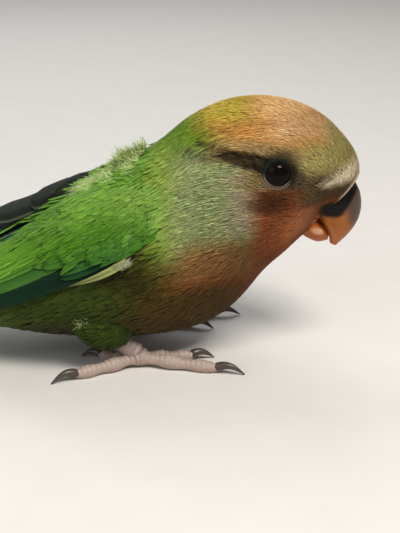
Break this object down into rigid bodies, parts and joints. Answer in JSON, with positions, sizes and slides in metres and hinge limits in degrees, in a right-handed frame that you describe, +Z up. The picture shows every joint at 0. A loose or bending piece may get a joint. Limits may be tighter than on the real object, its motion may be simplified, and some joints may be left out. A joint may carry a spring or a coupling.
{
  "type": "peach faced lovebird",
  "caption": "Young peach-faced lovebird, life size, crouched on both feet with wings folded and tail tip laid down, as a still model",
  "frame": {"origin": "middle of the bird's bounding box at floor level, where its toes and tail tip rest", "axes": "+X the way the bird faces, +Y its left side, +Z up"},
  "size_m": [0.122, 0.044, 0.0516],
  "materials": {
    "crown": "matt small feathers",
    "nape": "matt small feathers",
    "body": "matt small feathers",
    "wing": "silky flight feathers and coverts",
    "tail": "silky tail feathers",
    "bill": "smooth horn",
    "eye": "wet gloss",
    "foot": "scaly skin",
    "claw": "horn"
  },
  "bodies": {
    "root": {"head": "crown", "neck": "nape", "torso": "body", "tail": "tail", "upper_bill": "bill", "lower_bill": "bill", "eye_right": "eye", "wing_right": "wing", "thigh_right": "body", "foot_right": "foot", "claw_right_1": "claw", "claw_right_2": "claw", "claw_right_3": "claw", "claw_right_4": "claw", "eye_left": "eye", "wing_left": "wing", "thigh_left": "body", "foot_left": "foot", "claw_left_1": "claw", "claw_left_2": "claw", "claw_left_3": "claw", "claw_left_4": "claw"}
  },
  "joints": []
}
